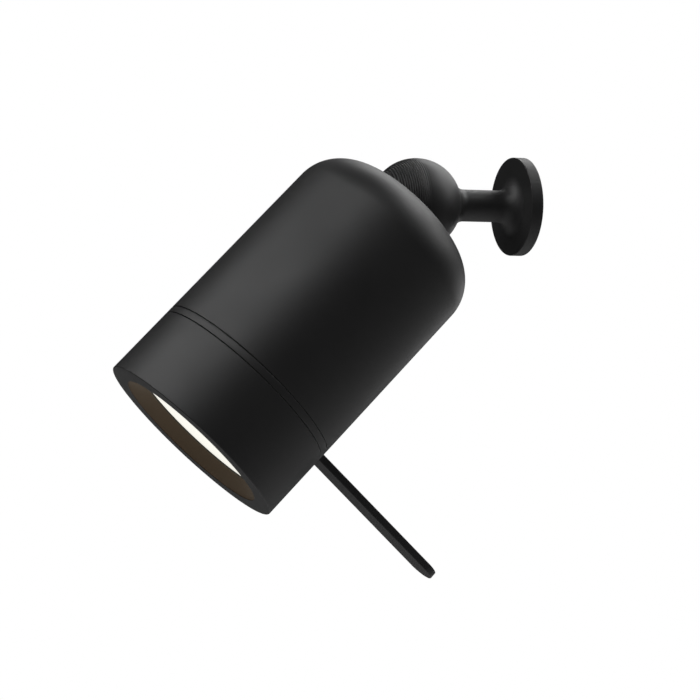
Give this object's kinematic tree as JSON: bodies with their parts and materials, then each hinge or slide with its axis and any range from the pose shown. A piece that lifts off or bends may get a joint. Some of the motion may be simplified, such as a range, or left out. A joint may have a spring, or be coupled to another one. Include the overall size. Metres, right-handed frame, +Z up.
{
  "type": "wall lamp",
  "caption": "Black wall lamp: a round rose and stem with a ball joint, a long round head that tilts and swivels, a ring with a lever that dims it, and a lit diffuser.",
  "frame": {"origin": "centre of the rose, on the wall's surface", "axes": "+Y goes into the wall, so the lamp stands out along -Y; +Z is up; +X is to the right of someone who faces the wall"},
  "size_m": [0.1, 0.2065, 0.2081],
  "materials": {
    "black_coat": "satin black powder coat",
    "black_turned": "satin black over turned rings",
    "black_lever": "satin black powder coat",
    "bare_aluminium": "machined",
    "zinc_steel": "bright zinc plate",
    "dark_screw": "black oxide",
    "spring_steel": "blued spring steel",
    "brass_screw": "plain",
    "magnet": "nickel plate",
    "black_rubber": "matt",
    "grey_rubber": "matt silicone",
    "lead_sheath": "matt sheath",
    "slip_plastic": "low-friction plastic",
    "driver_case": "moulded",
    "terminal_plastic": "moulded",
    "board_white": "white solder mask",
    "board_green": "green solder mask",
    "led_yellow": "phosphor face",
    "wire_red": "insulation",
    "reflector_white": "white moulded",
    "opal_diffuser": "opal satin"
  },
  "bodies": {
    "stand": {"wall_plate": "zinc_steel", "cable_bush": "black_rubber", "earth_screw": "brass_screw", "rose_and_stem": "black_coat", "rose_grub_screw": "dark_screw", "ball_rear_half": "black_coat", "stem_lead": "lead_sheath", "swivel_bolt": "zinc_steel", "swivel_washer": "slip_plastic", "swivel_spring": "spring_steel"},
    "swivel": {"swivel_yoke": "zinc_steel", "swivel_stop_pin": "spring_steel", "ball_front_half": "black_turned", "ball_cap_screws": "dark_screw"},
    "head": {"ball_seat_ring": "slip_plastic", "bracket_foot_screws": "zinc_steel", "diffuser": "opal_diffuser", "diffuser_gasket": "grey_rubber", "driver": "driver_case", "driver_bracket": "zinc_steel", "driver_screws": "zinc_steel", "front_sleeve": "black_coat", "head_lead": "lead_sheath", "head_shell": "black_coat", "heat_sink": "bare_aluminium", "heat_sink_screws": "zinc_steel", "led_board": "board_white", "led_board_screws": "zinc_steel", "led_chips": "led_yellow", "led_wires": "wire_red", "neck_nut": "zinc_steel", "neck_plate": "bare_aluminium", "neck_plate_screws": "zinc_steel", "neck_washer": "zinc_steel", "reflector": "reflector_white", "ring_carrier": "bare_aluminium", "ring_o_ring": "black_rubber", "ring_slip_washers": "slip_plastic", "ring_stop_pin": "spring_steel", "sensor_board": "board_green", "terminal_block": "terminal_plastic", "tilt_knuckle": "zinc_steel", "tilt_pivot_screws": "zinc_steel", "tilt_washers": "slip_plastic"},
    "ring": {"lever_ring": "black_lever", "ring_magnets": "magnet"}
  },
  "joints": [
    {"name": "swivel", "type": "hinge", "parent": "stand", "child": "swivel", "pos_m": [0, -0.0576, 0], "axis": [0, -1, 0], "range_deg": [-170, 170]},
    {"name": "tilt", "type": "hinge", "parent": "swivel", "child": "head", "pos_m": [0, -0.0576, 0], "axis": [1, 0, 0], "range_deg": [-45, 13]},
    {"name": "dimmer", "type": "hinge", "parent": "head", "child": "ring", "pos_m": [0, -0.14467, -0.08707], "axis": [0, -0.7071, -0.7071], "range_deg": [-60, 60]}
  ]
}
